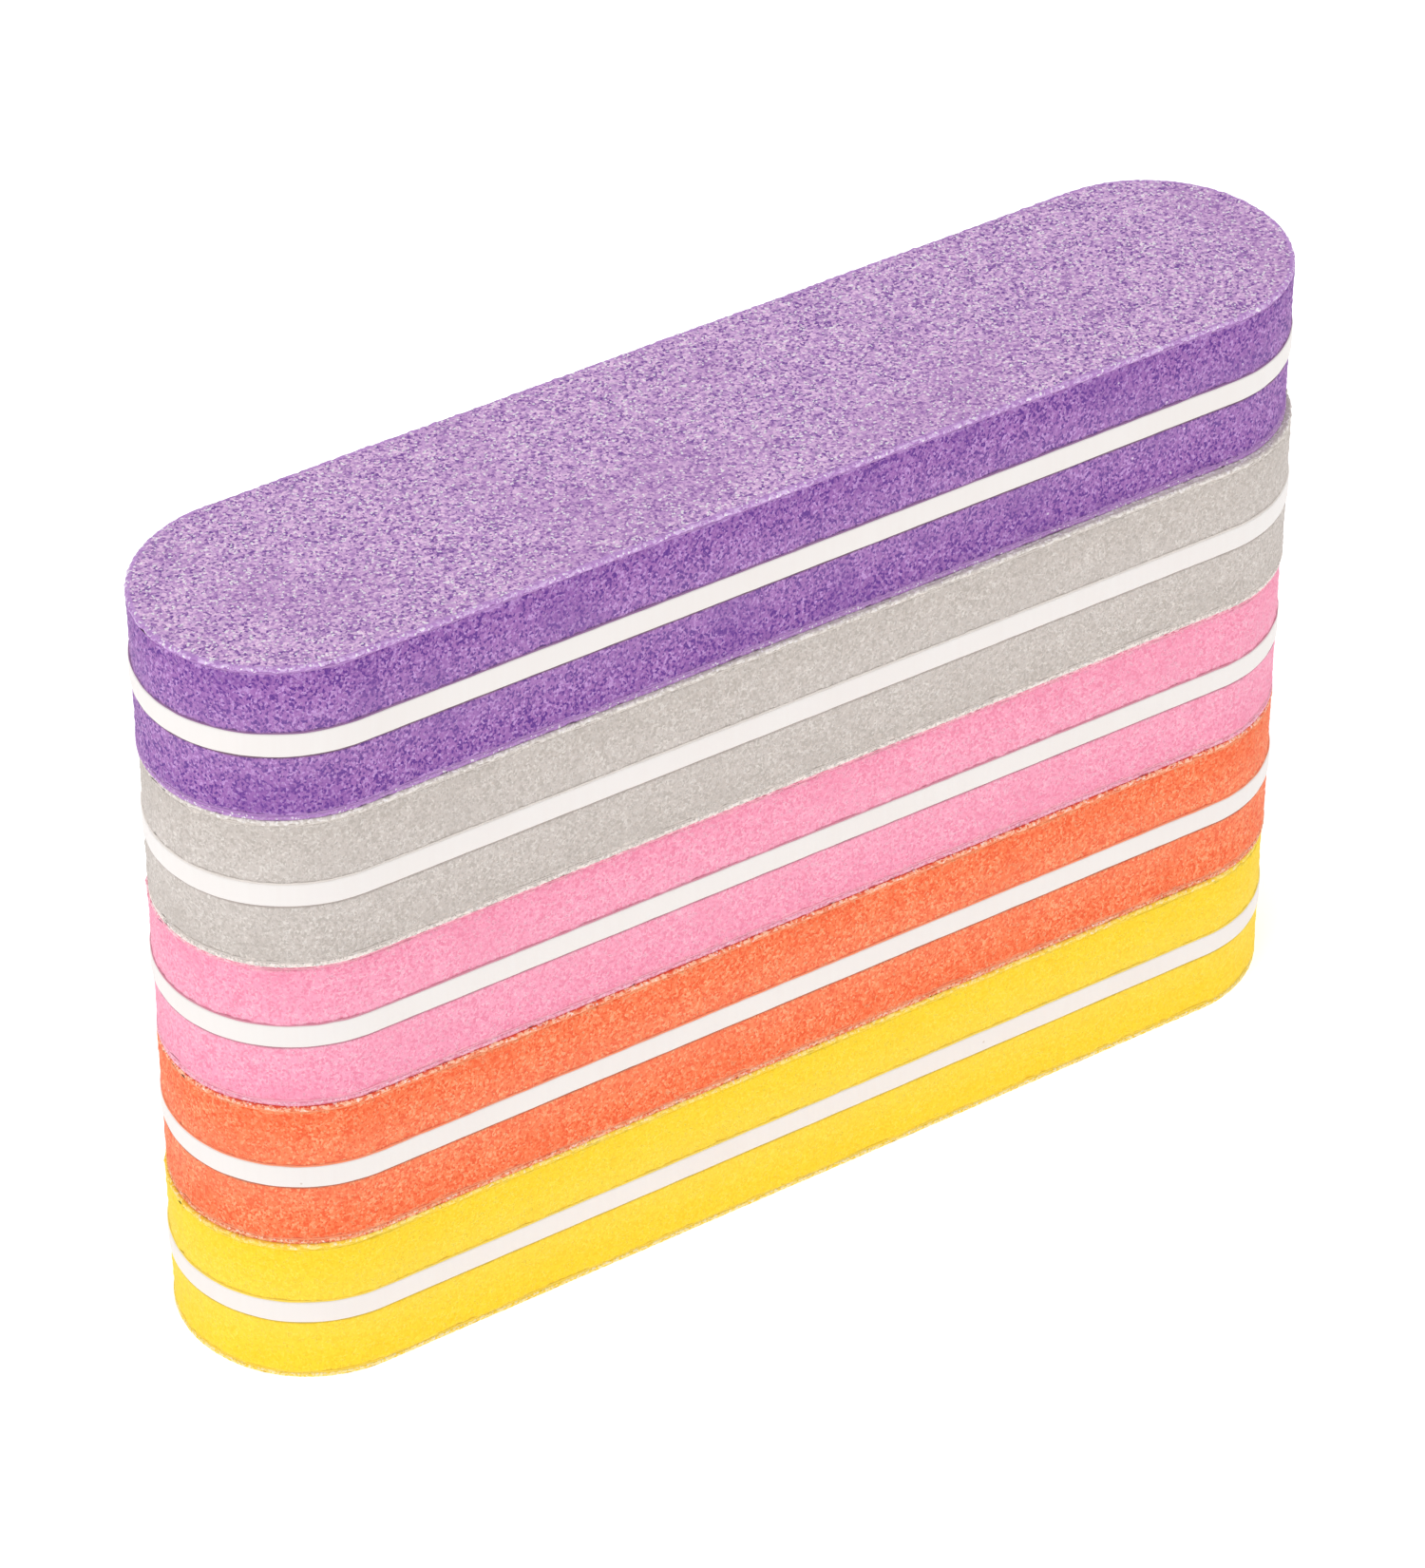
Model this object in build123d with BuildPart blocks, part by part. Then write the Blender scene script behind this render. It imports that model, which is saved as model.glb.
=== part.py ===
"""A stack of five nail buffer blocks, each a double-sided sponge file.

One block is a laminate, the same on both sides of its middle: a rigid plastic
core board, then a double-sided tape, a foam pad, a glue film and a grit sheet.
The blocks lie loose on each other, so each lifts off with what lies on it.

Frame: millimetres, +X along the blocks, +Y across them, +Z up, with the origin
at the centre of the bottom block's lower face.
"""

import os

from build123d import *

os.makedirs("parts", exist_ok=True)

# ---- driving dimensions of one block, in millimetres ----
core_length = 90.0
core_width = 20.0
core_thickness = 1.8
core_edge_radius = 0.12

# The foam springs back inside the rigid core board when the die lets go of it.
core_proud = 0.12

tape_thickness = 0.1
foam_thickness = 4.6
glue_thickness = 0.1
sheet_thickness = 0.3

# Both adhesive layers end short of the cut edge of the foam.
adhesive_setback = 0.08

# The die rolls over the outer edge of each grit sheet.
sheet_edge_radius = 0.2

# ---- the stack from the bottom up: name, shift along X, shift along Y, turn in degrees ----
stack = [
    ("yellow", 0.0, 0.0, 0.0),
    ("orange", 0.3, 0.2, 0.1),
    ("pink", 0.45, 0.45, 0.1),
    ("grey", 0.5, 0.3, 0.2),
    ("purple", 0.5, 0.75, 0.6),
]

# ---- sizes that follow from them ----
foam_length = core_length - 2 * core_proud
foam_width = core_width - 2 * core_proud
film_length = foam_length - 2 * adhesive_setback
film_width = foam_width - 2 * adhesive_setback
side_thickness = tape_thickness + foam_thickness + glue_thickness + sheet_thickness
block_thickness = core_thickness + 2 * side_thickness

# A rounded edge can't take up more than this share of the wall that it is on.
most_of_a_wall = 0.45


def layer_plane(place, height):
    """The plane of a layer's lower face, at a height in a block's own place."""
    shift_x, shift_y, turn = place
    return Plane((shift_x, shift_y, height)).rotated((0, 0, turn))


def core_board(plane):
    """The rigid board in the middle, with its cut edges just broken."""
    with BuildPart() as core:
        with BuildSketch(plane):
            SlotOverall(core_length, core_width)
        extrude(amount=core_thickness)
        rims = core.faces().filter_by(Axis.Z).edges()
        fillet(rims, min(core_edge_radius, most_of_a_wall * core_thickness))
    return core.part


def adhesive_film(plane, thickness):
    """A tape or a glue film, a little smaller than the foam all round."""
    with BuildPart() as film:
        with BuildSketch(plane):
            SlotOverall(film_length, film_width)
        extrude(amount=thickness)
    return film.part


def foam_pad(plane):
    """The sponge that lets the grit follow a nail."""
    with BuildPart() as foam:
        with BuildSketch(plane):
            SlotOverall(foam_length, foam_width)
        extrude(amount=foam_thickness)
    return foam.part


def grit_sheet(plane, outer_side):
    """The coated sheet that files, with its edge rolled over on its outer side."""
    with BuildPart() as sheet:
        with BuildSketch(plane):
            SlotOverall(foam_length, foam_width)
        extrude(amount=sheet_thickness)
        outer_face = sheet.faces().sort_by(Axis.Z)[outer_side]
        fillet(outer_face.edges(), min(sheet_edge_radius, 2 * most_of_a_wall * sheet_thickness))
    return sheet.part


def block(name, place, base):
    """All nine layers of one block, from its lower grit sheet up."""
    layers = [
        ("lower_grit_sheet", sheet_thickness, lambda plane: grit_sheet(plane, 0)),
        ("lower_glue_film", glue_thickness, lambda plane: adhesive_film(plane, glue_thickness)),
        ("lower_foam_pad", foam_thickness, foam_pad),
        ("lower_core_tape", tape_thickness, lambda plane: adhesive_film(plane, tape_thickness)),
        ("core_board", core_thickness, core_board),
        ("upper_core_tape", tape_thickness, lambda plane: adhesive_film(plane, tape_thickness)),
        ("upper_foam_pad", foam_thickness, foam_pad),
        ("upper_glue_film", glue_thickness, lambda plane: adhesive_film(plane, glue_thickness)),
        ("upper_grit_sheet", sheet_thickness, lambda plane: grit_sheet(plane, -1)),
    ]
    height = base
    for layer, thickness, make in layers:
        piece = make(layer_plane(place, height))
        piece.label = f"{name}_{layer}"
        export_step(piece, f"parts/{piece.label}.step")
        height += thickness


for level, (name, *place) in enumerate(stack):
    block(name, place, level * block_thickness)
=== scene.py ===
"""Looks for a stack of five double-sided sponge nail buffers.

Every layer of every block is a surface worked out with numpy inside the space
of its CAD node: a grit sheet with a rolled and frayed rim, a sponge pad with a
porous cut wall, a rigid core board, and the adhesive films between them.
"""

import logging
import math
from dataclasses import dataclass
from enum import Enum
from typing import Any

import bpy
import numpy as np
from mathutils import Matrix, Vector


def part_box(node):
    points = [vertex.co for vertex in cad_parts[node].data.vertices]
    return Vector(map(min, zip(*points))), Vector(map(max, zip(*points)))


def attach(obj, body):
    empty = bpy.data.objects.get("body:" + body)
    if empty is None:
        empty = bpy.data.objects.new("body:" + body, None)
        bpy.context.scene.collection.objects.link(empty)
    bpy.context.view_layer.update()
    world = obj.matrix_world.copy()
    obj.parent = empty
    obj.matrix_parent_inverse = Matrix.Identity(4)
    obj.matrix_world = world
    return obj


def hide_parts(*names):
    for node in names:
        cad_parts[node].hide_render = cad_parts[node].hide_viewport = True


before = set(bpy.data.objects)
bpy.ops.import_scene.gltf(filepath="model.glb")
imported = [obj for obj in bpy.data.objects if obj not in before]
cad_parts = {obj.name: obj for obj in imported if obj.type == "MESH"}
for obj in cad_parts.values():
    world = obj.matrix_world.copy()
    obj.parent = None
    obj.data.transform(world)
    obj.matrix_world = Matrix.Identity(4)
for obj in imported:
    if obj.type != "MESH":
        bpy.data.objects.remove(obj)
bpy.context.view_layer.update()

LOG = logging.getLogger("nail_buffer_stack")

MM = 0.001
MAP_NAME = "OFBake"

Colour = tuple[float, float, float]

WHITE: Colour = (255, 255, 255)


def linear(colour: Colour) -> tuple[float, float, float, float]:
    """Turns a colour as a screen shows it into linear light.

    Args:
        colour: Red, green and blue from 0 to 255.

    Returns:
        Linear red, green and blue, and an alpha of 1.
    """
    share = np.array(colour) / 255
    light = np.where(share <= 0.04045, share / 12.92, ((share + 0.055) / 1.055) ** 2.4)
    return (*light.tolist(), 1.0)


def toward(colour: Colour, other: Colour, share: float) -> Colour:
    """A colour moved by a share of the way towards another one."""
    return tuple(a + (b - a) * share for a, b in zip(colour, other))


# ---------------------------------------------------------------- shader writing


class Signal:
    """A number socket on which Python's operators add Math nodes."""

    def __init__(self, recipe: "Recipe", socket: bpy.types.NodeSocket) -> None:
        """Wraps one output socket of the recipe's tree."""
        self.recipe = recipe
        self.socket = socket

    def _math(self, operation: str, first: Any, second: Any) -> "Signal":
        """Adds one Math node and returns its result."""
        node = self.recipe.node("ShaderNodeMath", {"operation": operation}, {0: first, 1: second})
        return Signal(self.recipe, node.outputs[0])

    def __add__(self, other: Any) -> "Signal":
        """This plus other."""
        return self._math("ADD", self, other)

    def __sub__(self, other: Any) -> "Signal":
        """This less other."""
        return self._math("SUBTRACT", self, other)

    def __rsub__(self, other: Any) -> "Signal":
        """Other less this."""
        return self._math("SUBTRACT", other, self)

    def __mul__(self, other: Any) -> "Signal":
        """This times other."""
        return self._math("MULTIPLY", self, other)

    __radd__ = __add__

    def rise(self, low: float, high: float) -> "Signal":
        """A smooth step from 0 where this is at low to 1 where it is at high."""
        node = self.recipe.node("ShaderNodeMapRange", {"interpolation_type": "SMOOTHSTEP"},
                                {"Value": self, "From Min": low, "From Max": high})
        return Signal(self.recipe, node.outputs[0])


class Recipe:
    """One node material while it is being written."""

    def __init__(self, name: str) -> None:
        """Starts a material that has only its shader and its output.

        Args:
            name: The material's name.
        """
        self.material = bpy.data.materials.new(name)
        self.material.use_nodes = True
        self.tree = self.material.node_tree
        self.shader = self.tree.nodes["Principled BSDF"]
        self.place = self.node("ShaderNodeTexCoord").outputs["Object"]

    def node(self, kind: str, settings: dict[str, Any] | None = None,
             inputs: dict[Any, Any] | None = None) -> bpy.types.Node:
        """Adds a node, sets it up, and then feeds its sockets.

        Args:
            kind: The node's type.
            settings: Its properties. "stops" is a ramp's list of (position, colour).
            inputs: Values, sockets or signals by input name or index.

        Returns:
            The new node.
        """
        made = self.tree.nodes.new(kind)
        for key, value in (settings or {}).items():
            if key == "stops":
                self._set_stops(made.color_ramp, value)
            else:
                setattr(made, key, value)
        for key, value in (inputs or {}).items():
            self.feed(made.inputs[key], value)
        return made

    @staticmethod
    def _set_stops(ramp: bpy.types.ColorRamp, stops: list[tuple[float, Colour]]) -> None:
        """Puts a ramp's stops, which are (position, colour), in place."""
        while len(ramp.elements) < len(stops):
            ramp.elements.new(1.0)
        for element, (position, colour) in zip(ramp.elements, stops):
            element.position = position
            element.color = linear(colour)

    def feed(self, socket: bpy.types.NodeSocket, value: Any) -> None:
        """Links a signal or a socket to an input, or sets the input's value."""
        if isinstance(value, Signal):
            self.tree.links.new(value.socket, socket)
        elif isinstance(value, bpy.types.NodeSocket):
            self.tree.links.new(value, socket)
        else:
            socket.default_value = value

    def attribute(self, name: str) -> Signal:
        """The piece's own number attribute of that name."""
        node = self.node("ShaderNodeAttribute", {"attribute_name": name})
        return Signal(self, node.outputs["Fac"])

    def stretched(self, scale: tuple[float, float, float]) -> bpy.types.NodeSocket:
        """Object coordinates scaled along each axis."""
        return self.node("ShaderNodeMapping", None, {"Vector": self.place, "Scale": scale}).outputs[0]

    def noise(self, size: float, detail: float = 2.0,
              place: bpy.types.NodeSocket | None = None) -> Signal:
        """Soft noise from 0 to 1 whose lumps are about size across, in metres."""
        node = self.node("ShaderNodeTexNoise", {"noise_dimensions": "3D"},
                         {"Vector": place or self.place, "Scale": 1 / size, "Detail": detail})
        return Signal(self, node.outputs[0])

    def cells(self, size: float,
              place: bpy.types.NodeSocket | None = None) -> tuple[Signal, Signal, Signal]:
        """Random cells about size across.

        Args:
            size: The cells' spacing, in metres.
            place: Coordinates to use, or None for Object coordinates.

        Returns:
            The distance from the nearest cell's middle, and that cell's two random numbers.
        """
        node = self.node("ShaderNodeTexVoronoi", {"feature": "F1"},
                         {"Vector": place or self.place, "Scale": 1 / size})
        parts = self.node("ShaderNodeSeparateColor", None, {0: node.outputs["Color"]})
        distance = Signal(self, node.outputs["Distance"])
        return distance, Signal(self, parts.outputs[0]), Signal(self, parts.outputs[1])

    def ramp(self, value: Signal, stops: list[tuple[float, Colour]]) -> bpy.types.NodeSocket:
        """A colour read off a ramp."""
        return self.node("ShaderNodeValToRGB", {"stops": stops}, {"Fac": value}).outputs["Color"]

    def mix(self, first: Any, second: Any, factor: Any) -> bpy.types.NodeSocket:
        """A colour between two others; a tuple is a colour as a screen shows it."""
        first, second = (linear(c) if isinstance(c, tuple) else c for c in (first, second))
        node = self.node("ShaderNodeMix", {"data_type": "RGBA", "clamp_factor": True},
                         {0: factor, 6: first, 7: second})
        return node.outputs[2]

    def finish(self, colour: Any, rough: Any, height: Signal | None = None, depth: float = 0.0,
               **fixed: Any) -> bpy.types.Material:
        """Wires the shader up.

        Args:
            colour: The base colour's socket.
            rough: The roughness, as a signal or a number.
            height: What the bump is read from, or None.
            depth: The bump's depth in metres.
            **fixed: Other sockets' values, with _ for each space in their names.

        Returns:
            The finished material.
        """
        self.feed(self.shader.inputs["Base Color"], colour)
        self.feed(self.shader.inputs["Roughness"], rough)
        for key, value in fixed.items():
            self.shader.inputs[key.replace("_", " ")].default_value = value
        if height is not None:
            bump = self.node("ShaderNodeBump", None, {"Height": height, "Distance": depth, "Strength": 1.0})
            self.feed(self.shader.inputs["Normal"], bump.outputs[0])
        return self.material


# ---------------------------------------------------------------- finishes


@dataclass(frozen=True)
class Colourway:
    """One block's colours, as a screen shows them.

    The sponge is foam with open pores and pale fluff. The coated sheet is grit
    with deep and pale grains, and a band of painted contact shade inside its
    frayed rim, where the block above shades its ledge; the frayed rim is rim on
    the upper sheet and hem on the lower one. Tapes are the lower and the upper
    core tape's colours, dulled by dust; the lower one is dark, painted shadow
    under the proud core board. Painted glint is how strongly near-white painted
    glints show on the grit's grains.
    """

    name: str
    foam: Colour
    pore: Colour
    fluff: Colour
    grit: Colour
    deep: Colour
    pale: Colour
    seam: Colour
    rim: Colour
    hem: Colour
    tapes_lower_painted_shadow: tuple[Colour, Colour]
    painted_glint: float


@dataclass(frozen=True)
class GritFinish:
    """Coloured resin set with mineral grains, frayed to a ragged line at its rim."""

    name: str
    colours: Colourway
    grain: float
    thread: Colour
    cloud: float = 2.6 * MM
    patch: float = 10 * MM
    thread_width: float = 0.3 * MM
    depth: float = 0.04 * MM
    mineral: Colour = (184, 176, 198)
    painted_glint_white: Colour = (255, 252, 255)

    def dress(self) -> bpy.types.Material:
        """Writes the material: each grain's own tone and hue, cloudy resin, painted glints and the rim."""
        recipe = Recipe(self.name)
        colours = self.colours
        reach, tone, hue = recipe.cells(self.grain)
        fine = recipe.noise(self.grain * 0.6, 1.0)
        cloud = recipe.noise(self.cloud, 2.0)
        broad = recipe.noise(self.patch, 1.0)
        value = 0.5 + (tone - 0.5) * 1.1 + (fine - 0.5) * 0.6 + (cloud - 0.5) * 0.35
        face = recipe.ramp(value, [(0.02, colours.deep), (0.32, toward(colours.grit, colours.deep, 0.25)),
                                   (0.64, toward(colours.grit, colours.pale, 0.2)), (0.98, colours.pale)])
        # About a quarter of the grains lean to the sponge's colour, and an eighth are cool mineral.
        face = recipe.mix(face, toward(colours.foam, colours.fluff, 0.5), hue.rise(0.7, 0.78) * 0.45)
        face = recipe.mix(face, toward(colours.grit, self.mineral, 0.7), (1 - hue).rise(0.84, 0.9) * 0.35)
        face = recipe.mix(face, toward(colours.grit, colours.foam, 0.6), broad.rise(0.5, 0.66) * 0.3)
        # Painted glints: a few grains turn near white in the colour, and they are glossier in the roughness
        # too.
        gloss_and_painted_glint = recipe.cells(self.grain * 0.8)[1].rise(0.91, 0.94) * colours.painted_glint
        # Towards the rim: a band of painted contact shade, a calmer band, and then the torn threads.
        edge = recipe.attribute("edge")
        thread = recipe.noise(self.thread_width, 2.0)
        near = edge + (thread - 0.5) * 0.3
        face = recipe.mix(face, colours.seam, near.rise(0.3, 0.5) * (0.65 + tone * 0.35))
        calm = recipe.mix(colours.foam, colours.rim, 0.2 + tone * 0.3)
        face = recipe.mix(face, calm, near.rise(0.86, 0.95) * 0.5)
        ragged = (edge + (thread - 0.5) * 0.6 + (tone - 0.5) * 0.35).rise(0.87, 0.97)
        rim = recipe.mix(toward(self.thread, colours.foam, 0.5), toward(self.thread, WHITE, 0.3),
                         (thread * 0.4 + tone * 0.6).rise(0.3, 0.72))
        colour = recipe.mix(face, rim, ragged * (0.95 - (1 - tone) * 0.35))
        colour = recipe.mix(colour, self.painted_glint_white, gloss_and_painted_glint)
        rough = 0.88 - gloss_and_painted_glint * 0.45 - tone * 0.16
        height = (1 - reach) * 0.6 + tone * 0.5 + fine * 0.6
        return recipe.finish(colour, rough, height, self.depth, Specular_IOR_Level=0.3)


@dataclass(frozen=True)
class FoamFinish:
    """Fine closed-cell sponge, cut through: open pores, pale fluff and specks of lint."""

    colours: Colourway
    cell: float = 0.15 * MM
    fleck: float = 0.11 * MM
    mottle: float = 1.4 * MM
    streak: float = 0.6 * MM
    patch: float = 5 * MM
    lint_spacing: float = 1.7 * MM
    thread_width: float = 0.3 * MM
    wave: float = 1.3 * MM
    depth: float = 0.06 * MM

    def dress(self) -> bpy.types.Material:
        """Writes the material: cell by cell tone, soft mottling, painted light and shade, lint and a frayed
        outer edge.
        """
        recipe = Recipe(f"{self.colours.name}_foam")
        colours = self.colours
        upright = recipe.stretched((1.0, 1.0, 0.8))
        reach, tone, _ = recipe.cells(self.cell, upright)
        fine = recipe.noise(self.fleck, 1.0, upright)
        mottle = recipe.noise(self.mottle, 2.0)
        streak = recipe.noise(self.streak, 1.0, recipe.stretched((1.0, 1.0, 0.12)))
        broad = recipe.noise(self.patch, 1.0)
        value = 0.5 + (tone - 0.5) * 1.1 + (fine - 0.5) * 0.6
        value = value + (mottle - 0.5) * 0.34 + (streak - 0.5) * 0.16
        face = recipe.ramp(value, [(0.1, colours.pore), (0.4, toward(colours.foam, colours.pore, 0.12)),
                                   (0.74, toward(colours.foam, colours.fluff, 0.06)), (1.0, colours.fluff)])
        face = recipe.mix(face, toward(colours.foam, colours.pore, 0.6), broad.rise(0.48, 0.7) * 0.3)
        # Painted light makes the sponge paler beside its core, and painted shade makes it deeper in colour
        # beside its sheet.
        edge = recipe.attribute("edge")
        painted_core_light = (1 - edge).rise(0.2, 1.0) * 0.1
        face = recipe.mix(face, toward(colours.foam, WHITE, 0.45), painted_core_light)
        # Painted shade: deeper in colour towards the sheet's rim.
        face = recipe.mix(face, toward(colours.foam, colours.pore, 0.8), edge.rise(0.6, 0.96) * 0.18)
        far, _, pick = recipe.cells(self.lint_spacing)
        lint = (1 - far.rise(0.04, 0.075)) * pick.rise(0.7, 0.75)
        face = recipe.mix(face, toward(colours.fluff, WHITE, 0.6), lint * 0.8)
        thread = recipe.noise(self.thread_width, 2.0)
        wave = recipe.noise(self.wave, 1.0)
        fringe = (edge + (thread - 0.5) * 0.2 + (wave - 0.5) * 0.12).rise(0.978, 0.995)
        face = recipe.mix(face, toward(colours.rim, colours.foam, 0.2), fringe * (0.45 + tone * 0.4))
        rough = 0.95 - tone * 0.12
        height = fine * 0.8 - (1 - reach.rise(0.1, 0.5)) * tone.rise(0.55, 0.75) * 0.7
        return recipe.finish(face, rough, height, self.depth, Specular_IOR_Level=0.12,
                             Sheen_Weight=0.12, Sheen_Roughness=0.5)


@dataclass(frozen=True)
class CoreFinish:
    """Warm white polystyrene board with a satin, faintly streaked cut edge."""

    white: Colour = (238, 235, 233)
    shade: Colour = (222, 208, 200)
    dust: Colour = (196, 176, 160)
    cloud: float = 6 * MM
    line_spacing: float = 0.45 * MM
    dust_spacing: float = 1.9 * MM
    depth: float = 0.015 * MM

    def dress(self) -> bpy.types.Material:
        """Writes the material: faint clouding, knife lines and a few specks of dust."""
        recipe = Recipe("core_plastic")
        cloud = recipe.noise(self.cloud, 2.0)
        lines = recipe.noise(self.line_spacing, 2.0, recipe.stretched((1.0, 1.0, 0.05)))
        far, pick, _ = recipe.cells(self.dust_spacing)
        colour = recipe.mix(self.white, toward(self.white, self.shade, 0.4), cloud * 0.5 + lines * 0.3)
        speck = (1 - far.rise(0.03, 0.07)) * pick.rise(0.9, 0.95)
        colour = recipe.mix(colour, self.dust, speck * 0.7)
        return recipe.finish(colour, 0.42 + lines * 0.18, lines, self.depth, Specular_IOR_Level=0.45,
                             Coat_Weight=0.05)


@dataclass(frozen=True)
class FilmFinish:
    """The cut edge of an adhesive film, where dust gathers; on a lower core tape its tint is painted shadow
    under the core board.
    """

    name: str
    tint: Colour
    dust: Colour = (200, 190, 185)
    patch: float = 1.5 * MM

    def dress(self) -> bpy.types.Material:
        """Writes the material: a dull film with uneven, dusty patches."""
        recipe = Recipe(self.name)
        patch = recipe.noise(self.patch, 3.0)
        colour = recipe.mix(self.tint, toward(self.tint, self.dust, 0.2), patch.rise(0.4, 0.75))
        return recipe.finish(colour, 0.7)


@dataclass(frozen=True)
class FloorFinish:
    """A plain studio floor that glows a little, so that it stays white."""

    bright: Colour = (250, 250, 250)
    dull: Colour = (246, 246, 246)
    patch: float = 0.4
    glow: float = 0.46

    def dress(self) -> bpy.types.Material:
        """Writes the material: near white with the slightest unevenness."""
        recipe = Recipe("studio_floor")
        colour = recipe.mix(self.bright, self.dull, recipe.noise(self.patch, 2.0))
        return recipe.finish(colour, 0.9, Emission_Color=(1, 1, 1, 1), Emission_Strength=self.glow)


# ---------------------------------------------------------------- surfaces


class Side(Enum):
    """Which side of its core a layer is on."""

    LOWER = -1
    UPPER = 1


@dataclass(frozen=True)
class Rail:
    """A closed run round a block, anticlockwise from the middle of its +X end.

    Point i at a radius r is base[i] + r * normal[i], and travel is how far round
    it is. Points i and count - i mirror each other across the block's X axis.
    """

    base: np.ndarray
    normal: np.ndarray
    travel: np.ndarray

    def at(self, radius: np.ndarray | float) -> np.ndarray:
        """The run's points at one radius, or at a row or rows of a radius for each point."""
        return self.base + self.normal * np.asarray(radius)[..., None]


@dataclass(frozen=True)
class Outline:
    """A block's outline in its own place: two straight sides and two full round ends."""

    half_run: float
    radius: float
    centre: tuple[float, float]
    turn: float

    @classmethod
    def of_node(cls, node: str) -> "Outline":
        """Reads the outline of a flat CAD node.

        The turn is the long axis of the points' spread, and the sizes are the
        farthest that a point lies from the middle along it and across it.

        Args:
            node: The CAD node's name.

        Returns:
            Its outline.
        """
        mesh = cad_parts[node].data
        points = np.empty(len(mesh.vertices) * 3)
        mesh.vertices.foreach_get("co", points)
        flat = points.reshape(-1, 3)[:, :2]
        centre = (flat.min(0) + flat.max(0)) / 2
        flat = flat - centre
        spread = flat.T @ flat
        turn = 0.5 * math.atan2(2 * spread[0, 1], spread[0, 0] - spread[1, 1])
        along = flat @ np.array([math.cos(turn), math.sin(turn)])
        across = flat @ np.array([-math.sin(turn), math.cos(turn)])
        radius = float(np.abs(across).max())
        return cls(float(np.abs(along).max()) - radius, radius, tuple(centre.tolist()), turn)

    def rail(self, straight: int, quarter: int) -> Rail:
        """The run round the outline.

        Each end is a half circle in 2 * quarter steps, and each side is a line
        in straight steps.

        Args:
            straight: Steps along one straight side.
            quarter: Steps along a quarter of a circle.

        Returns:
            The rail.
        """
        bend = np.linspace(0, math.pi / 2, quarter + 1)
        x_run = np.linspace(self.half_run, -self.half_run, straight + 1)
        angle = np.concatenate([bend[:-1], np.full(straight, math.pi / 2), bend[:-1] + math.pi / 2])
        end_x = np.full(quarter, self.half_run)
        base_x = np.concatenate([end_x, x_run[:-1], -end_x])
        angle = np.concatenate([angle, angle + math.pi])
        base_x = np.concatenate([base_x, -base_x])
        base = np.stack([base_x, np.zeros_like(base_x)], 1)
        normal = np.stack([np.cos(angle), np.sin(angle)], 1)
        rim = base + normal * self.radius
        steps = np.linalg.norm(np.diff(rim, axis=0), axis=1)
        return Rail(base, normal, np.concatenate([[0.0], np.cumsum(steps)]))

    def girth(self) -> float:
        """How far it is all the way round."""
        return 4 * self.half_run + 2 * math.pi * self.radius

    def place(self, points: np.ndarray) -> np.ndarray:
        """Turns and shifts points from the block's own place into the stack's."""
        c, s = math.cos(self.turn), math.sin(self.turn)
        x = points[..., 0] * c - points[..., 1] * s + self.centre[0]
        y = points[..., 0] * s + points[..., 1] * c + self.centre[1]
        return np.stack([x, y, points[..., 2]], -1)


@dataclass(frozen=True)
class Ripple:
    """A soft wander along a closed run: a sum of sines with whole numbers of turns."""

    seed: int
    girth: float
    lengths: tuple[float, float]
    waves: int = 14

    def at(self, travel: np.ndarray) -> np.ndarray:
        """Its value at each distance along the run, with a spread of about 0.7 about 0."""
        rng = np.random.default_rng(self.seed)
        wavelength = np.exp(rng.uniform(*np.log(self.lengths), self.waves))
        turns = np.maximum(1, np.round(self.girth / wavelength))
        phase = rng.uniform(0, 2 * math.pi, self.waves)
        angle = 2 * math.pi * travel[:, None] * turns / self.girth + phase
        return np.sin(angle).sum(1) / math.sqrt(self.waves)


def grains(shape: tuple[int, int], seed: int, passes: int) -> np.ndarray:
    """Lumpy relief on a grid: random numbers, averaged with their neighbours.

    Each pass averages a number with the ones beside it along both directions,
    with weights 1, 2 and 1, and wraps round at the ends.

    Args:
        shape: Rows and columns.
        seed: The random seed.
        passes: How many times to average.

    Returns:
        The relief, scaled to a spread of 1 about 0.
    """
    relief = np.random.default_rng(seed).standard_normal(shape)
    for _ in range(passes):
        for axis in (0, 1):
            relief = (np.roll(relief, 1, axis) + 2 * relief + np.roll(relief, -1, axis)) / 4
    return relief / relief.std()


@dataclass(frozen=True)
class MapBand:
    """A band right across a piece's map, from low to high, with a margin at both ends."""

    low: float
    high: float
    margin: float = 0.01

    def at(self, across: np.ndarray, up: np.ndarray) -> np.ndarray:
        """Map places for shares of the band's length and height."""
        return np.stack([self.margin + (1 - 2 * self.margin) * across,
                         self.low + (self.high - self.low) * up], -1)


def folded(low: float, high: float, pitch: float) -> tuple[MapBand, ...]:
    """Four equal bands for a wall folded in four, each a pitch above the last."""
    return tuple(MapBand(low + pitch * k, high + pitch * k) for k in range(4))


@dataclass(frozen=True)
class SlabMap:
    """How a slab's map is shared out between its folded wall and its two caps."""

    wall: tuple[MapBand, ...]
    inner: MapBand
    outer: MapBand


THICK_MAP = SlabMap(folded(0.175, 0.375, 0.205), inner=MapBand(0.01, 0.08), outer=MapBand(0.09, 0.165))
THIN_MAP = SlabMap(folded(0.5, 0.61, 0.12), inner=MapBand(0.02, 0.24), outer=MapBand(0.26, 0.48))


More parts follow.
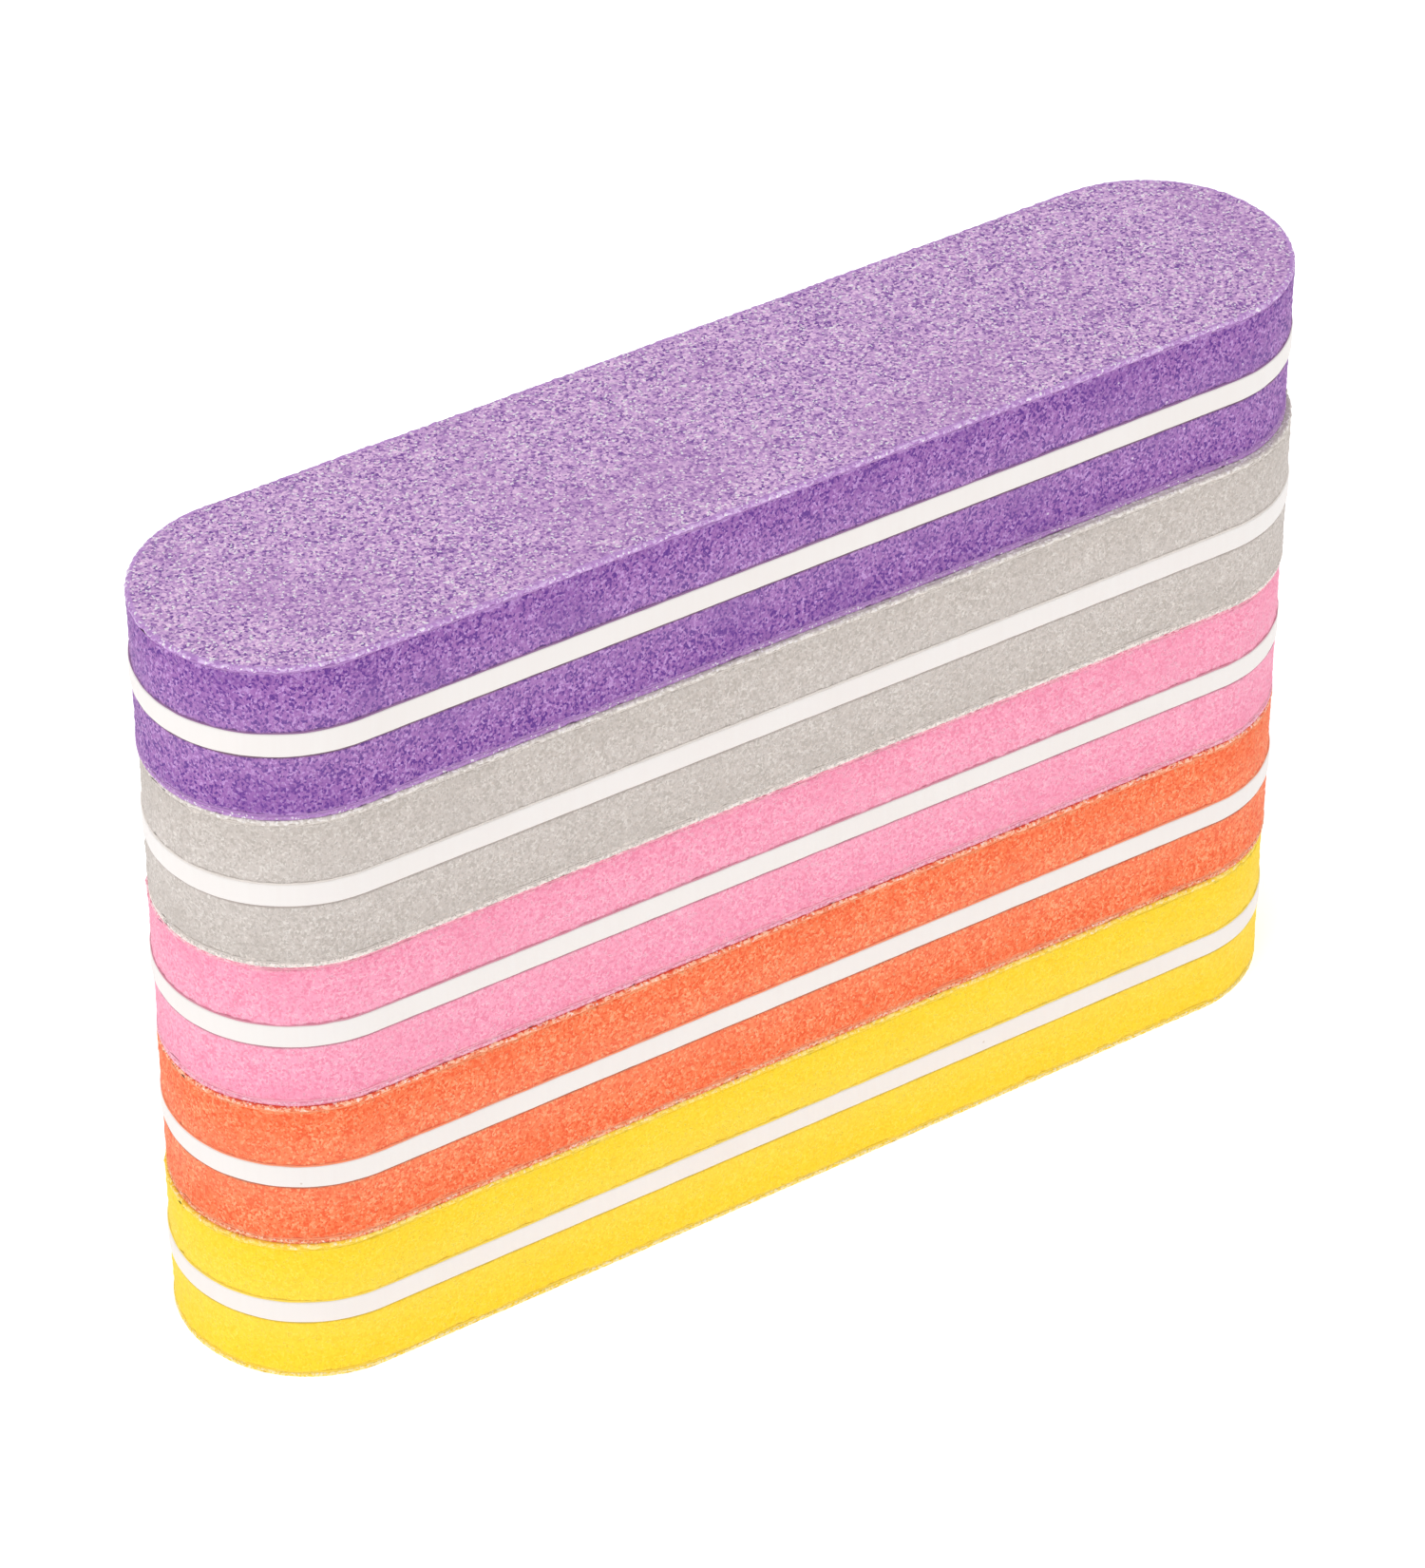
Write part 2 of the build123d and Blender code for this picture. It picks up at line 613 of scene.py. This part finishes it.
class Skin:
    """Gathers patches of faces into one closed mesh with its own map."""

    def __init__(self, flip: bool) -> None:
        """Starts an empty skin.

        Args:
            flip: True for a layer under its core, which is built mirrored in Z.
        """
        self.flip = flip
        self.points: list[np.ndarray] = []
        self.edges: list[np.ndarray] = []
        self.patches: list[tuple[np.ndarray, np.ndarray]] = []
        self.count = 0

    def add_points(self, points: np.ndarray, edge: np.ndarray | float) -> np.ndarray:
        """Adds points and gives their numbers.

        Args:
            points: An array of (x, y, z), of any shape.
            edge: How near each point is to the rim, from 0 to 1.

        Returns:
            The points' numbers, in the same shape.
        """
        numbers = np.arange(self.count, self.count + points[..., 0].size).reshape(points.shape[:-1])
        self.points.append(points.reshape(-1, 3))
        self.edges.append(np.broadcast_to(edge, points.shape[:-1]).reshape(-1))
        self.count += numbers.size
        return numbers

    def add_faces(self, corners: np.ndarray, places: np.ndarray) -> None:
        """Adds faces of equal corner count, anticlockwise from outside, and their map places."""
        if self.flip:
            corners, places = corners[:, ::-1], places[:, ::-1]
        self.patches.append((corners, places))

    @staticmethod
    def _fold(rows: int, columns: int, bands: tuple[MapBand, ...]) -> np.ndarray:
        """Works out the map places of a grid's faces, folded into one strip for each band.

        Args:
            rows: How many rows of faces there are.
            columns: How many columns of faces there are.
            bands: The strips' bands, from the first column to the last.

        Returns:
            Four places for each face, with the rows from the lowest up.
        """
        v, u = np.mgrid[0:rows, 0:columns]
        places = np.empty((rows, columns, 4, 2))
        step = columns / len(bands)
        for strip, band in enumerate(bands):
            inside = slice(round(strip * step), round((strip + 1) * step))
            for corner, (over, up) in enumerate(((0, 0), (1, 0), (1, 1), (0, 1))):
                across = (u[:, inside] + over - inside.start) / (inside.stop - inside.start)
                places[:, inside, corner] = band.at(across, (v[:, inside] + up) / rows)
        return places

    def add_grid(self, numbers: np.ndarray, bands: tuple[MapBand, ...]) -> None:
        """Faces a grid that looks up.

        Args:
            numbers: Point numbers, with rows along +Y and columns along +X.
            bands: The map's bands, from the first column to the last.
        """
        rows, columns = (n - 1 for n in numbers.shape)
        v, u = np.mgrid[0:rows, 0:columns]
        corners = np.stack([numbers[v, u], numbers[v, u + 1], numbers[v + 1, u + 1], numbers[v + 1, u]], -1)
        self.add_faces(corners.reshape(-1, 4), self._fold(rows, columns, bands).reshape(-1, 4, 2))

    def add_wall(self, numbers: np.ndarray, bands: tuple[MapBand, ...]) -> None:
        """Faces rings of points from the highest to the lowest, as a closed wall.

        Args:
            numbers: Point numbers, one row for each ring.
            bands: The map's bands, from the start of the ring to its end.
        """
        rows, columns = numbers.shape[0] - 1, numbers.shape[1]
        k, i = np.mgrid[0:rows, 0:columns]
        after = (i + 1) % columns
        corners = np.stack([numbers[k + 1, i], numbers[k + 1, after], numbers[k, after], numbers[k, i]], -1)
        places = self._fold(rows, columns, bands)[::-1]
        self.add_faces(corners.reshape(-1, 4), places.reshape(-1, 4, 2))

    def add_cap(self, ring: np.ndarray, rail: Rail, outline: Outline, band: MapBand, up: bool) -> None:
        """Closes a ring with faces that run straight across the block.

        Point i is joined to its mirror image across the block's X axis, so the
        cap is a row of quads with a triangle at each end.

        Args:
            ring: The ring's point numbers.
            rail: The run that the ring follows.
            outline: The block's outline.
            band: The cap's band on the map.
            up: True where the cap looks up.
        """
        count = len(ring)
        half = count // 2
        i = np.arange(1, half - 1)
        quads = np.stack([i, i + 1, count - i - 1, count - i], -1)
        ends = np.array([[0, 1, count - 1], [half - 1, half, half + 1]])
        flat = rail.at(outline.radius)
        reach = outline.half_run + outline.radius
        for corners in (quads, ends):
            at = flat[corners]
            places = band.at(at[..., 0] / reach / 2 + 0.5, at[..., 1] / outline.radius / 2 + 0.5)
            if not up:
                corners, places = corners[:, ::-1], places[:, ::-1]
            self.add_faces(ring[corners], places)

    def build(self, name: str) -> bpy.types.Object:
        """Makes the mesh object.

        Args:
            name: The piece's name.

        Returns:
            The object, at the origin, with its map and its edge attribute.
        """
        points = np.concatenate(self.points)
        sizes = np.concatenate([np.full(len(c), c.shape[1]) for c, _ in self.patches])
        loops = np.concatenate([c.ravel() for c, _ in self.patches]).astype(np.int32)
        places = np.concatenate([p.reshape(-1, 2) for _, p in self.patches]).astype(np.float32)
        mesh = bpy.data.meshes.new(name)
        mesh.vertices.add(len(points))
        mesh.vertices.foreach_set("co", points.astype(np.float32).ravel())
        mesh.loops.add(len(loops))
        mesh.loops.foreach_set("vertex_index", loops)
        mesh.polygons.add(len(sizes))
        mesh.polygons.foreach_set("loop_start", (np.cumsum(sizes) - sizes).astype(np.int32))
        mesh.update(calc_edges=True)
        mesh.uv_layers.new(name=MAP_NAME).data.foreach_set("uv", places.ravel())
        edge = mesh.attributes.new("edge", "FLOAT", "POINT")
        edge.data.foreach_set("value", np.concatenate(self.edges).astype(np.float32))
        mesh.validate()
        piece = bpy.data.objects.new(name, mesh)
        bpy.context.scene.collection.objects.link(piece)
        return piece


# ---------------------------------------------------------------- the layers


@dataclass(frozen=True)
class Layer:
    """What each layer of a block shares: its node, its side and its place."""

    node: str
    side: Side
    outline: Outline
    seed: int

    def span(self) -> tuple[float, float]:
        """The heights of the layer's inner and outer faces, seen from the core."""
        low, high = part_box(self.node)
        return (low.z, high.z) if self.side is Side.UPPER else (high.z, low.z)

    def thickness(self) -> float:
        """How thick the layer is."""
        inner, outer = self.span()
        return abs(outer - inner)

    def lift(self, flat: np.ndarray, height: np.ndarray | float) -> np.ndarray:
        """Puts flat points at heights above the layer's inner face, out from the core."""
        inner = self.span()[0]
        z = inner + self.side.value * np.broadcast_to(height, flat.shape[:-1])
        return self.outline.place(np.concatenate([flat, z[..., None]], -1))

    def ripple(self, rail: Rail, draw: int, lengths: tuple[float, float], waves: int = 14) -> np.ndarray:
        """One of the layer's own ripples along the rail, picked by the number of its draw."""
        return Ripple(self.seed + draw, self.outline.girth(), lengths, waves).at(rail.travel)

    def slab(self, name: str, rail: Rail, radius: np.ndarray, height: np.ndarray,
             edge: np.ndarray | float, plan: SlabMap) -> bpy.types.Object:
        """Makes a flat slab: rings of points from its outer face to its inner one, and two caps.

        Args:
            name: The piece's name.
            rail: The run round the block.
            radius: Each point's distance out from the rail's base, a row for each ring.
            height: Each ring's height above the inner face, as a column.
            edge: How near the outer face each ring is, as a column or one number.
            plan: How the piece's map is shared out.

        Returns:
            The slab.
        """
        skin = Skin(self.side is Side.LOWER)
        rings = skin.add_points(self.lift(rail.at(radius), height), edge)
        skin.add_wall(rings, plan.wall)
        skin.add_cap(rings[0], rail, self.outline, plan.outer, up=True)
        skin.add_cap(rings[-1], rail, self.outline, plan.inner, up=False)
        return skin.build(name)


@dataclass(frozen=True)
class SheetCut:
    """How finely a coated sheet is built, and how its rim is cut and worn.

    Steps are those of the outline's rail. The rim turns down by roll, stands
    proud of the sponge, frays in and out, and is bitten back in worn places.
    """

    steps: tuple[int, int] = (420, 70)
    roll: float = 0.2 * MM
    proud: float = 0.0
    fray: float = 0.07 * MM
    bite: float = 0.14 * MM


@dataclass(frozen=True)
class GritSheet(Layer):
    """The coated sheet: a grainy face, a rolled and frayed rim, and a plain back."""

    cut: SheetCut = SheetCut()
    relief: float = 0.022 * MM
    rim_rings: int = 5
    back_inset: float = 0.03 * MM
    edge_width: float = 0.6 * MM

    def build(self, name: str) -> bpy.types.Object:
        """Makes the sheet.

        The face is a grid of u along the block and v across it, with
        y = r sin v and x = u (half_run + r cos v), so that its outer columns
        follow the round ends. The rim turns down through a quarter circle.

        Args:
            name: The piece's name.

        Returns:
            The sheet.
        """
        skin = Skin(self.side is Side.LOWER)
        thick, roll = self.thickness(), self.cut.roll
        rail = self.outline.rail(*self.cut.steps)
        rim = self._rim(rail)
        rings = [self._face(skin, rail, rim - roll, thick)]
        droop = self.relief * 0.8 * np.abs(grains((1, len(rim)), self.seed + 7, 1)[0])
        for turn in np.linspace(0, math.pi / 2, self.rim_rings + 1)[1:]:
            height = thick - roll * (1 - math.cos(turn)) - droop * math.cos(turn)
            setback = roll * (1 - math.sin(turn))
            points = self.lift(rail.at(rim - setback), height)
            rings.append(skin.add_points(points, self._nearness(setback)))
        rings.append(skin.add_points(self.lift(rail.at(rim - self.back_inset), 0.0), 1.0))
        skin.add_wall(np.stack(rings), folded(0.075, 0.095, 0.025))
        skin.add_cap(rings[-1], rail, self.outline, MapBand(0.01, 0.065), up=False)
        return skin.build(name)

    def _rim(self, rail: Rail) -> np.ndarray:
        """The rim's radius at each point of the rail: cut proud, frayed, and bitten where it is worn."""
        wander = self.ripple(rail, 0, (3 * MM, 40 * MM))
        ragged = self.ripple(rail, 1, (0.5 * MM, 2 * MM), 40)
        worn = self.ripple(rail, 4, (1.2 * MM, 7 * MM), 24)
        rim = self.outline.radius + self.cut.proud + self.cut.fray * (0.4 * wander + 0.6 * ragged)
        return rim - self.cut.bite * np.clip(worn - 1.2, 0, 1)

    def _nearness(self, distance: np.ndarray | float) -> np.ndarray | float:
        """How near the rim a point is, from 0 at the edge's width away to 1 on the rim."""
        share = np.clip(distance / self.edge_width, 0, 1)
        return 1 - share * share * (3 - 2 * share)

    def _face(self, skin: Skin, rail: Rail, rim: np.ndarray, thick: float) -> np.ndarray:
        """Adds the face, whose relief is lumps of grain over a slow swell, calmer by the rim.

        Args:
            skin: The skin to add to.
            rail: The run round the block.
            rim: The face's radius at each point of the rail.
            thick: The sheet's thickness.

        Returns:
            The numbers of the points round its border.
        """
        along, quarter = self.cut.steps
        across = 2 * quarter
        u = np.linspace(-1, 1, along + 1)
        v = np.linspace(-math.pi / 2, math.pi / 2, across + 1)
        border = self._border(along, across)
        radius = self.outline.radius + self.cut.proud - self.cut.roll
        x = u[None, :] * (self.outline.half_run + radius * np.cos(v))[:, None]
        y = np.broadcast_to((radius * np.sin(v))[:, None], x.shape)
        flat = np.stack([x, y], -1)
        reach = radius - np.hypot(np.maximum(np.abs(x) - self.outline.half_run, 0), y)
        near = self._nearness(reach + self.cut.roll)
        lumps = np.clip(grains(x.shape, self.seed + 2, 1) * 0.4 + 0.5, 0, 1)
        swell = np.clip(grains(x.shape, self.seed + 3, 9) * 0.3 + 0.5, 0, 1)
        height = thick - self.relief * (1.4 * lumps + 0.5 * swell) * (1 - 0.65 * near)
        flat[border[:, 0], border[:, 1]] = rail.at(rim)
        numbers = skin.add_points(self.lift(flat, height), near)
        skin.add_grid(numbers, (MapBand(0.185, 0.585), MapBand(0.595, 0.99)))
        return numbers[border[:, 0], border[:, 1]]

    @staticmethod
    def _border(along: int, across: int) -> np.ndarray:
        """The grid places (row, column) round the border, in the rail's order."""
        mid = across // 2
        right_up = [(r, along) for r in range(mid, across)]
        top = [(across, c) for c in range(along, 0, -1)]
        left = [(r, 0) for r in range(across, 0, -1)]
        bottom = [(0, c) for c in range(along)]
        right_low = [(r, along) for r in range(mid)]
        return np.array(right_up + top + left + bottom + right_low)


@dataclass(frozen=True)
class FoamPad(Layer):
    """The sponge: a porous cut wall, a little waisted, rolled in at its outer rim."""

    steps: tuple[int, int] = (380, 85)
    rows: int = 27
    pore: float = 0.022 * MM
    waist: float = 0.03 * MM
    shoulder: float = 0.05 * MM
    shoulder_height: float = 0.28 * MM
    wander: float = 0.045 * MM
    flutter: float = 0.008 * MM

    def build(self, name: str) -> bpy.types.Object:
        """Makes the pad.

        The wall's radius is the outline's, less a sine waist, less a shoulder
        that fades with the distance from the outer face, plus a slow wander
        and a quick flutter along the wall and the relief of the pores.

        Args:
            name: The piece's name.

        Returns:
            The pad.
        """
        rail = self.outline.rail(*self.steps)
        thick = self.thickness()
        share = np.linspace(1, 0, self.rows + 1)[:, None]
        slow = self.ripple(rail, 0, (4 * MM, 50 * MM))
        quick = self.ripple(rail, 1, (0.8 * MM, 3 * MM), 30)
        near = np.exp(-(1 - share) * thick / self.shoulder_height)
        inset = self.waist * np.sin(math.pi * share) + self.shoulder * near * (1 + 0.3 * quick)
        pores = grains((self.rows + 1, len(rail.travel)), self.seed + 2, 1)
        radius = (self.outline.radius - inset + self.wander * slow * (0.4 + 0.6 * share)
                  + self.pore * pores + self.flutter * quick)
        return self.slab(name, rail, radius, thick * share, share, THICK_MAP)


@dataclass(frozen=True)
class CoreBoard(Layer):
    """The rigid board: a clean cut wall with small broken edges."""

    steps: tuple[int, int] = (220, 60)
    bend_steps: int = 4
    broken: float = 0.12 * MM
    wobble: float = 0.012 * MM

    def build(self, name: str) -> bpy.types.Object:
        """Makes the board.

        The wall's rows are spaced along a profile of two quarter rounds with a
        straight between, and its radius wobbles a little along the cut.

        Args:
            name: The piece's name.

        Returns:
            The board.
        """
        rail = self.outline.rail(*self.steps)
        steps = self.bend_steps
        bend = np.linspace(0, math.pi / 2, steps + 1)
        inset = np.concatenate([1 - np.sin(bend), np.zeros(steps), 1 - np.cos(bend)]) * self.broken
        top = self.thickness() - self.broken * (1 - np.cos(bend))
        low = self.broken * (1 - np.sin(bend))
        middle = np.linspace(top[-1], low[0], steps + 2)[1:-1]
        height = np.concatenate([top, middle, low])[:, None]
        wobble = self.ripple(rail, 0, (2 * MM, 30 * MM))
        nicks = self.ripple(rail, 1, (0.4 * MM, 1.2 * MM), 40)
        radius = self.outline.radius - inset[:, None] + self.wobble * (wobble + 0.25 * nicks)
        return self.slab(name, rail, radius, height, 0.0, THICK_MAP)


@dataclass(frozen=True)
class Film(Layer):
    """An adhesive film: its squeezed edge wanders in and out between its neighbours."""

    steps: tuple[int, int] = (200, 45)
    squeeze: float = 0.03 * MM
    proud: float = 0.0

    def build(self, name: str) -> bpy.types.Object:
        """Makes the film, whose wall stands proud and bulges by a squeeze at mid height.

        Args:
            name: The piece's name.

        Returns:
            The film.
        """
        rail = self.outline.rail(*self.steps)
        share = np.array([1.0, 0.5, 0.0])[:, None]
        drift = self.ripple(rail, 0, (1.5 * MM, 12 * MM))
        radius = self.outline.radius + self.proud + self.squeeze * (0.6 * drift + np.sin(math.pi * share))
        return self.slab(name, rail, radius, self.thickness() * share, share, THIN_MAP)


# ---------------------------------------------------------------- the blocks


@dataclass
class Block:
    """One buffer block: a core board with tape, foam, glue and grit on both sides.

    Grain sizes and cuts are those of the lower and the upper sheet.
    """

    colours: Colourway
    core: bpy.types.Material
    seed: int
    grain_sizes: tuple[float, float] = (0.14 * MM, 0.18 * MM)
    cuts: tuple[SheetCut, SheetCut] = (
        SheetCut((300, 50), roll=0.02 * MM, proud=0.05 * MM, fray=0.02 * MM, bite=0.05 * MM), SheetCut())
    glue_proud: float = 0.045 * MM
    tape_proud: float = 0.13 * MM

    def build(self) -> list[bpy.types.Object]:
        """Builds, dresses and mounts all nine layers.

        Returns:
            The pieces, from the core outwards.
        """
        name = self.colours.name
        core = self._layer(CoreBoard, "core_board", Side.UPPER, 0)
        pieces = [self._mount(core, "core_board", self.core)]
        foam = FoamFinish(self.colours).dress()
        soaked = FilmFinish(f"{name}_glue_film", toward(self.colours.foam, self.colours.rim, 0.4)).dress()
        threads = (self.colours.hem, self.colours.rim)
        for number, side in enumerate(Side):
            word = side.name.lower()
            seed = 40 + 100 * number
            # On the lower side the tape's colour is painted shadow: a dark line under the proud core board.
            film = FilmFinish(f"{name}_{word}_tape", self.colours.tapes_lower_painted_shadow[number]).dress()
            grit = GritFinish(f"{name}_{word}_grit", self.colours, self.grain_sizes[number],
                              threads[number]).dress()
            tape = self._layer(Film, f"{word}_core_tape", side, seed, proud=self.tape_proud)
            pad = self._layer(FoamPad, f"{word}_foam_pad", side, seed + 10)
            glue = self._layer(Film, f"{word}_glue_film", side, seed + 20, proud=self.glue_proud)
            sheet = self._layer(GritSheet, f"{word}_grit_sheet", side, seed + 30, cut=self.cuts[number])
            pieces.append(self._mount(tape, f"{word}_core_tape", film))
            pieces.append(self._mount(pad, f"{word}_foam_pad", foam))
            pieces.append(self._mount(glue, f"{word}_glue_film", soaked))
            pieces.append(self._mount(sheet, f"{word}_grit_sheet", grit))
        return pieces

    def _layer(self, kind: type[Layer], word: str, side: Side, seed: int, **sizes: Any) -> Layer:
        """One layer of a kind, in the place of the CAD node that ends in word."""
        node = f"{self.colours.name}_{word}"
        return kind(node, side, Outline.of_node(node), self.seed + seed, **sizes)

    def _mount(self, layer: Layer, word: str, material: bpy.types.Material) -> bpy.types.Object:
        """Builds a layer, dresses it, and lets it ride in its CAD node's stead.

        Args:
            layer: The layer to build.
            word: The end of the piece's name.
            material: Its finish.

        Returns:
            The piece.
        """
        piece = layer.build(f"{self.colours.name}_{word}_skin")
        piece.data.materials.append(material)
        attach(piece, f"{self.colours.name}_block")
        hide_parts(layer.node)
        LOG.info("built %s with %d faces", piece.name, len(piece.data.polygons))
        return piece


@dataclass
class BufferStack:
    """The five loose blocks, from the bottom up."""

    colourways: tuple[Colourway, ...] = (
        Colourway("yellow", foam=(254, 219, 50), pore=(251, 208, 42), fluff=(255, 227, 76),
                  grit=(252, 222, 104), deep=(238, 194, 68), pale=(255, 240, 165), seam=(246, 196, 60),
                  rim=(255, 224, 92), hem=(255, 230, 150),
                  tapes_lower_painted_shadow=((214, 184, 56), (254, 224, 84)), painted_glint=0.4),
        Colourway("orange", foam=(253, 131, 83), pore=(240, 96, 54), fluff=(255, 172, 126),
                  grit=(250, 138, 98), deep=(222, 96, 62), pale=(255, 196, 166), seam=(224, 60, 40),
                  rim=(255, 182, 136), hem=(255, 176, 120),
                  tapes_lower_painted_shadow=((190, 110, 80), (253, 148, 104)), painted_glint=0.45),
        Colourway("pink", foam=(251, 165, 193), pore=(239, 138, 169), fluff=(255, 188, 208),
                  grit=(251, 178, 202), deep=(230, 140, 172), pale=(255, 220, 230), seam=(216, 96, 120),
                  rim=(255, 188, 200), hem=(254, 166, 194),
                  tapes_lower_painted_shadow=((192, 130, 146), (216, 142, 162)), painted_glint=0.4),
        Colourway("grey", foam=(205, 196, 190), pore=(186, 178, 171), fluff=(224, 217, 211),
                  grit=(212, 205, 200), deep=(180, 171, 165), pale=(240, 234, 230), seam=(206, 198, 190),
                  rim=(236, 228, 220), hem=(254, 238, 228),
                  tapes_lower_painted_shadow=((180, 169, 163), (232, 224, 217)), painted_glint=0.5),
        Colourway("purple", foam=(165, 112, 181), pore=(98, 54, 142), fluff=(198, 154, 216),
                  grit=(214, 172, 222), deep=(122, 78, 160), pale=(244, 208, 242), seam=(196, 150, 216),
                  rim=(212, 170, 230), hem=(170, 118, 188),
                  tapes_lower_painted_shadow=((120, 89, 114), (148, 104, 152)), painted_glint=0.75),
    )
    core: CoreFinish = CoreFinish()

    def build(self) -> None:
        """Builds every block."""
        core = self.core.dress()
        for level, colours in enumerate(self.colourways):
            pieces = Block(colours, core, 1000 * (level + 1)).build()
            LOG.info("block %s has %d pieces", colours.name, len(pieces))


# ---------------------------------------------------------------- the studio


def bearing(azimuth: float, elevation: float) -> Vector:
    """The way out from the stack at angles in degrees; azimuth 0 is in front, at -Y."""
    a, e = math.radians(azimuth), math.radians(elevation)
    return Vector((math.sin(a) * math.cos(e), -math.cos(a) * math.cos(e), math.sin(e)))


@dataclass(frozen=True)
class SoftBox:
    """A square studio lamp that looks at the stack."""

    name: str
    azimuth: float
    elevation: float
    distance: float
    size: float
    watts: float

    def build(self, aim: Vector) -> None:
        """Hangs the lamp on a sphere round aim."""
        back = bearing(self.azimuth, self.elevation)
        data = bpy.data.lights.new(self.name, "AREA")
        data.size = self.size
        data.energy = self.watts
        lamp = bpy.data.objects.new(self.name, data)
        turned = back.to_track_quat("Z", "Y").to_matrix().to_4x4()
        lamp.matrix_world = Matrix.Translation(aim + back * self.distance) @ turned
        bpy.context.scene.collection.objects.link(lamp)


@dataclass(frozen=True)
class Studio:
    """The floor, the light and the camera."""

    floor_size: float = 6.0
    floor_gap: float = 0.01 * MM
    sky: float = 0.61
    lamps: tuple[SoftBox, ...] = (
        SoftBox("key_softbox", azimuth=-75.0, elevation=48.0, distance=1.1, size=0.8, watts=4.3),
        SoftBox("fill_softbox", azimuth=60.0, elevation=32.0, distance=1.4, size=1.0, watts=3.0),
    )
    azimuth: float = -32.76
    elevation: float = 37.38
    roll: float = -0.21
    distance: float = 414.5 * MM
    aim_from_middle: tuple[float, float, float] = (-1.43 * MM, 0.36 * MM, -0.39 * MM)
    lens: float = 136.56

    def build(self) -> None:
        """Sets everything up round the CAD model's box."""
        low, high = (Vector(corner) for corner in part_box("yellow_lower_grit_sheet"))
        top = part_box("purple_upper_grit_sheet")[1].z
        middle = Vector(((low.x + high.x) / 2, (low.y + high.y) / 2, (low.z + top) / 2))
        self._floor(low.z)
        self._sky()
        for lamp in self.lamps:
            lamp.build(middle)
        self._camera(middle + Vector(self.aim_from_middle))
        bpy.context.scene.view_settings.view_transform = "Standard"

    def _floor(self, height: float) -> None:
        """Lays a square floor a hair under the lowest sheet."""
        half = self.floor_size / 2
        skin = bpy.data.meshes.new("studio_floor")
        corners = [(-half, -half), (half, -half), (half, half), (-half, half)]
        skin.from_pydata([(x, y, height - self.floor_gap) for x, y in corners], [], [(0, 1, 2, 3)])
        floor = bpy.data.objects.new("studio_floor", skin)
        floor.data.materials.append(FloorFinish().dress())
        bpy.context.scene.collection.objects.link(floor)

    def _sky(self) -> None:
        """Fills the room with even white light."""
        world = bpy.data.worlds.new("studio_sky")
        world.use_nodes = True
        light = world.node_tree.nodes["Background"]
        light.inputs["Color"].default_value = (1.0, 1.0, 1.0, 1.0)
        light.inputs["Strength"].default_value = self.sky
        bpy.context.scene.world = world

    def _camera(self, aim: Vector) -> None:
        """Stands the camera on a sphere round aim, rolled about its own axis."""
        back = bearing(self.azimuth, self.elevation)
        turn = math.radians(self.azimuth)
        right = Vector((math.cos(turn), math.sin(turn), 0.0))
        up = back.cross(right)
        turned = Matrix((right, up, back)).transposed().to_4x4()
        data = bpy.data.cameras.new("camera")
        data.lens = self.lens
        data.clip_start = 0.01
        camera = bpy.data.objects.new("camera", data)
        spin = Matrix.Rotation(math.radians(self.roll), 4, "Z")
        camera.matrix_world = Matrix.Translation(aim + back * self.distance) @ turned @ spin
        bpy.context.scene.collection.objects.link(camera)
        bpy.context.scene.camera = camera


def main() -> None:
    """Builds the stack and the studio."""
    logging.basicConfig(level=logging.INFO, format="%(name)s: %(message)s")
    BufferStack().build()
    Studio().build()


if __name__ == "__main__":
    main()
